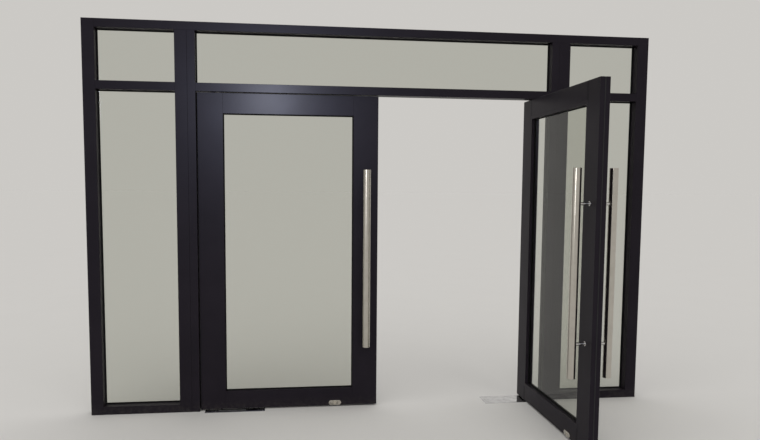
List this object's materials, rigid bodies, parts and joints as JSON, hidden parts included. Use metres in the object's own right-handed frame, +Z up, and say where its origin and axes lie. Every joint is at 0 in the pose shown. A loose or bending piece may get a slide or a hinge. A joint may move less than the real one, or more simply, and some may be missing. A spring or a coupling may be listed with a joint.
{
  "type": "glass entrance door",
  "caption": "Aluminium entrance screen with framed double-action glass leaves on floor springs, side and top lights, long tubular pull handles and bottom locks.",
  "frame": {"origin": "middle of the screen at finished floor level, in the middle of the frame's depth, midway between the floor screws", "axes": "+X along the screen to the right as seen from the front, +Y to the back, +Z up"},
  "size_m": [3.81, 1.2255, 2.628],
  "materials": {
    "frame_paint": "satin powder coat",
    "leaf_paint": "satin powder coat",
    "bead_paint": "satin powder coat",
    "clear_glass": "slightly grey, polished",
    "glazing_rubber": "matt",
    "brush_pile": "fibrous",
    "mill_aluminium": "mill",
    "brushed_stainless": "brushed",
    "satin_chrome": "satin",
    "plain_steel": "machined",
    "cast_iron": "painted casting"
  },
  "bodies": {
    "frame": {"left_jamb": "frame_paint", "right_jamb": "frame_paint", "head": "frame_paint", "left_mullion": "frame_paint", "right_mullion": "frame_paint", "left_door_jamb": "frame_paint", "right_door_jamb": "frame_paint", "header": "frame_paint", "left_transom": "frame_paint", "right_transom": "frame_paint", "left_sill": "frame_paint", "right_sill": "frame_paint", "jamb_inserts": "bead_paint", "left_side_glass": "clear_glass", "right_side_glass": "clear_glass", "left_top_glass": "clear_glass", "right_top_glass": "clear_glass", "centre_top_glass": "clear_glass", "frame_beads": "bead_paint", "frame_rubbers": "glazing_rubber", "frame_cleats": "mill_aluminium", "left_floor_spring": "cast_iron", "right_floor_spring": "cast_iron", "floor_cover_plates": "brushed_stainless", "top_pivots": "plain_steel"},
    "left_leaf": {"left_pivot_stile": "leaf_paint", "left_meeting_stile": "leaf_paint", "left_top_rail": "leaf_paint", "left_bottom_rail": "leaf_paint", "left_leaf_glass": "clear_glass", "left_leaf_beads": "bead_paint", "left_leaf_rubbers": "glazing_rubber", "left_corner_cleats": "mill_aluminium", "left_pivot_arms": "plain_steel", "left_pull_bars": "brushed_stainless", "left_pull_posts": "brushed_stainless", "left_lock_case": "cast_iron", "left_escutcheons": "satin_chrome", "left_brushes": "brush_pile"},
    "left_plug": {"left_lock_plug": "satin_chrome"},
    "left_bolt": {"left_floor_bolt": "plain_steel"},
    "right_leaf": {"right_pivot_stile": "leaf_paint", "right_meeting_stile": "leaf_paint", "right_top_rail": "leaf_paint", "right_bottom_rail": "leaf_paint", "right_leaf_glass": "clear_glass", "right_leaf_beads": "bead_paint", "right_leaf_rubbers": "glazing_rubber", "right_corner_cleats": "mill_aluminium", "right_pivot_arms": "plain_steel", "right_pull_bars": "brushed_stainless", "right_pull_posts": "brushed_stainless", "right_lock_case": "cast_iron", "right_escutcheons": "satin_chrome", "right_brushes": "brush_pile"},
    "right_plug": {"right_lock_plug": "satin_chrome"},
    "right_bolt": {"right_floor_bolt": "plain_steel"}
  },
  "joints": [
    {"name": "left_swing", "type": "hinge", "parent": "frame", "child": "left_leaf", "pos_m": [-1.092, 0, 0], "axis": [0, 0, 1], "range_deg": [-100, 100], "stiffness_Nm_per_rad": 15},
    {"name": "right_swing", "type": "hinge", "parent": "frame", "child": "right_leaf", "pos_m": [1.092, 0, 0], "axis": [0, 0, 1], "range_deg": [-190, 10]},
    {"name": "left_lock_turn", "type": "hinge", "parent": "left_leaf", "child": "left_plug", "pos_m": [-0.292, 0, 0.028], "axis": [0, 1, 0], "range_deg": [0, 180]},
    {"name": "left_bolt_drop", "type": "slide", "parent": "left_leaf", "child": "left_bolt", "axis": [0, 0, -1], "range_m": [0, 0.019]},
    {"name": "right_lock_turn", "type": "hinge", "parent": "right_leaf", "child": "right_plug", "pos_m": [1.092, -0.8, 0.028], "axis": [-1, 0, 0], "range_deg": [0, 180]},
    {"name": "right_bolt_drop", "type": "slide", "parent": "right_leaf", "child": "right_bolt", "axis": [0, 0, -1], "range_m": [0, 0.019]}
  ],
  "couplings": [
    {"joint": "left_bolt_drop", "follows": "left_lock_turn", "m_per_rad": 0.0060478},
    {"joint": "right_bolt_drop", "follows": "right_lock_turn", "m_per_rad": 0.0060478}
  ]
}
